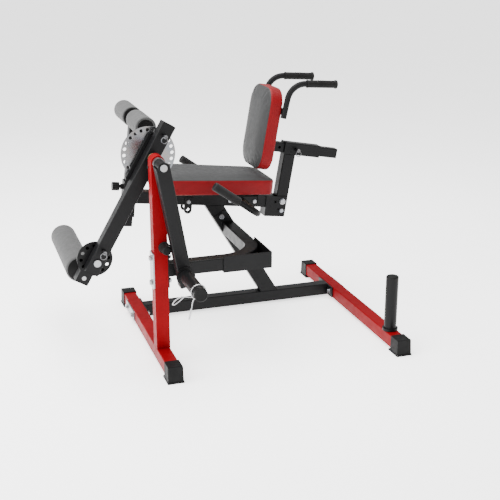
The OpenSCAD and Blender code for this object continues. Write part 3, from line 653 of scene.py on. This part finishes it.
def back_grip(side):
    """Ribbed rubber grip with raised dots and a flanged end, on a bent handle of the backrest."""
    lean, turn, bend = math.radians(3), math.radians(80.5), 0.072
    m = back_frame @ Matrix.Translation((-0.0715, side * 0.125, 0.1322)) @ Matrix.Rotation(lean, 4, "Y")
    m = m @ Matrix.Translation((bend, 0, 0.078)) @ Matrix.Rotation(turn, 4, "Y")
    m = m @ Matrix.Translation((-bend, 0, 0.004))
    prof = [(0.0121, 0.0), (0.0148, 0.0), (0.0158, 0.001), (0.016, 0.004), (0.0155, 0.0055)]
    z = 0.0065
    while z < 0.113:
        prof += [(0.0141, z), (0.0141, z + 0.001), (0.0149, z + 0.0016), (0.0150, z + 0.0030),
                 (0.0149, z + 0.0038)]
        z += 0.0048
    prof += [(0.0143, 0.1165), (0.0155, 0.1185), (0.0172, 0.1205), (0.0174, 0.1255), (0.0165, 0.1278),
             (0.014, 0.129), (0.0005, 0.1292), (0.0005, 0.1245), (0.0121, 0.1245)]
    ob = lathe("back_grip_%s" % ("far" if side > 0 else "near"), prof, GRIP, m, 60)
    bm = bmesh.new()
    bm.from_mesh(ob.data)
    for row in range(3):
        for k in range(-2, 3):
            a = math.pi + math.radians(k * 15) + math.radians(8)
            c = Vector((0.0149 * math.cos(a), 0.0149 * math.sin(a), 0.05 + row * 0.0096))
            bmesh.ops.create_icosphere(bm, subdivisions=2, radius=0.0012, matrix=Matrix.Translation(c))
    bm.to_mesh(ob.data)
    bm.free()
    for p in ob.data.polygons:
        p.use_smooth = True
    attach(ob, "backrest")
    return ob


for sd in (-1, 1):
    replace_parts(back_grip(sd), "back_grips")


def front_screw():
    """Small round-headed black screw on the upright's front face, below the pivot."""
    head = [(0.0004, 0.0), (0.006, 0.0), (0.0062, 0.0008), (0.0055, 0.0024), (0.0036, 0.0035),
            (0.0024, 0.0036), (0.002, 0.0018), (0.0004, 0.0018)]
    ob = lathe("front_screw", head, NYLON, frame_at(P(-25, -425, 733), (-1, 0, 0)), 32)
    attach(ob, "frame")


front_screw()


# ---------------------------------------------------------------- spring clip

def clip_pt(x, y, z):
    """A point given in mm from the weight horn's axis, where the clip grips it."""
    px, pz = ARM_LENGTH * math.sin(ARM_TILT), PIVOT_Z - ARM_LENGTH * math.cos(ARM_TILT)
    return P(px + x, -549 - 172 + y, pz + z)


def wire_clip():
    """Path of the clip's wire: the upper loop, nearly two turns round the horn, and the lower loop."""
    R = 26.3
    ctrl = []
    upper = [(-58, -8), (-76, -15), (-88, -25), (-91, -32), (-86, -34), (-74, -28), (-60, -17), (-50, -10)]
    for x, z in upper:
        ctrl.append(clip_pt(x, -1.5, z))
    ctrl.append(clip_pt(-34, -1.2, -13))
    turns = 1.93
    n = 46
    a0 = math.radians(212)
    for i in range(n + 1):
        t = i / n
        a = a0 - 2 * math.pi * turns * t
        ctrl.append(clip_pt(R * math.cos(a), -0.6 + 4.6 * t, R * math.sin(a)))
    lower = [(-20, 4.4, -33), (-24, 2, -48), (-27, 0, -62), (-30, -2, -80), (-33, 1, -93), (-34, 5, -97),
             (-33, 9, -93), (-30, 9, -78), (-26, 7, -60)]
    for x, y, z in lower:
        ctrl.append(clip_pt(x, y, z))
    return smooth_path(ctrl, 5)


clip = tube_path("wire_clip", wire_clip(), 0.0018, CHROME, seg=12)
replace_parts(clip, "spring_clip")
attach(clip, "spring_clip")


# ---------------------------------------------------------------- studio

def floor():
    m, nt, b = new_mat("studio_floor")
    v = coords(nt)
    tone = ramp(nt, noise(nt, v, 1.2, 2), [(0.3, (0.93, 0.93, 0.93)), (0.7, (0.96, 0.96, 0.96))])
    nt.links.new(tone, b.inputs["Base Color"])
    b.inputs["Roughness"].default_value = 0.9
    b.inputs["Specular IOR Level"].default_value = 0.1
    b.inputs["Emission Color"].default_value = (1, 1, 1, 1)
    b.inputs["Emission Strength"].default_value = 1.7
    s = 45.0    # half its side
    corners = [(-s, -s, 0), (s, -s, 0), (s, s, 0), (-s, s, 0)]
    ob = mesh_obj("studio_floor", corners, [(0, 1, 2, 3)], m, smooth=False)


floor()


def area(name, loc, target, size, power):
    d = bpy.data.lights.new(name, "AREA")
    d.shape = "RECTANGLE"
    d.size, d.size_y = size
    d.energy = power
    ob = bpy.data.objects.new(name, d)
    bpy.context.scene.collection.objects.link(ob)
    ob.location = loc
    ob.rotation_euler = (Vector(loc) - Vector(target)).to_track_quat("Z", "Y").to_euler()


area("left", (-3.2, -0.6, 2.0), (0, 0, 0.5), (2.6, 3.0), 210)
area("top", (-0.3, 0.4, 3.4), (0, 0, 0.3), (3.2, 3.2), 300)
area("front", (1.2, -4.2, 2.2), (0, 0, 0.5), (3.0, 2.0), 40)

w = bpy.data.worlds.new("studio")
w.use_nodes = True
w.node_tree.nodes["Background"].inputs["Color"].default_value = (1, 1, 1, 1)
w.node_tree.nodes["Background"].inputs["Strength"].default_value = 0.75
bpy.context.scene.world = w

cam = bpy.data.cameras.new("camera")
cam.lens = 68.335
cam.sensor_width = 36.0
cob = bpy.data.objects.new("camera", cam)
bpy.context.scene.collection.objects.link(cob)
az, el = math.radians(-18.433), math.radians(18.143)
back_v = Vector((math.sin(az) * math.cos(el), -math.cos(az) * math.cos(el), math.sin(el)))
right_v = Vector((math.cos(az), math.sin(az), 0))
up_v = back_v.cross(right_v)
cm = Matrix((right_v, up_v, back_v)).transposed().to_4x4()
cm.translation = Vector((-0.7128 + FX, -3.6161 + FY, 1.4911))
cob.matrix_world = cm
bpy.context.scene.camera = cob
